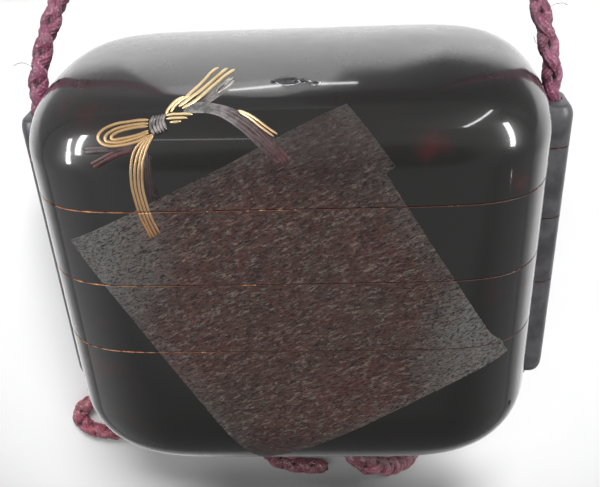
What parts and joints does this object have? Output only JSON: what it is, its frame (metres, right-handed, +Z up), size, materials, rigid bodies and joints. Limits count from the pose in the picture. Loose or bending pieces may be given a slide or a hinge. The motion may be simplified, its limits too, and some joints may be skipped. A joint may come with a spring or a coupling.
{
  "type": "inro case",
  "caption": "Wide lacquered inro: a lid, trays and a deep lower case that stack on inner rims, strung on a braided silk cord tied in a bow beneath.",
  "frame": {"origin": "under the middle of the case, on the surface that it lies on", "axes": "+X across the front from runner to runner, +Y towards the lid, +Z up out of the decorated front"},
  "size_m": [0.1046, 0.1942, 0.046],
  "materials": {
    "black_lacquer": "gloss black lacquer on a light wood core, worn red-brown at the seams",
    "panel_lacquer": "low-sheen dark brown grained lacquer",
    "gold_lacquer": "raised gold lacquer strands, worn",
    "pewter_lacquer": "dull pewter-grey inlay strands",
    "silk_cord": "braided burgundy silk"
  },
  "bodies": {
    "root": {"lower_case": "black_lacquer", "middle_tray": "black_lacquer", "upper_tray": "black_lacquer", "lid": "black_lacquer", "cord": "silk_cord", "bow_loop_left": "silk_cord", "bow_loop_right": "silk_cord", "bow_tail_left": "silk_cord", "bow_tail_right": "silk_cord", "bow_knot": "silk_cord"}
  },
  "joints": []
}
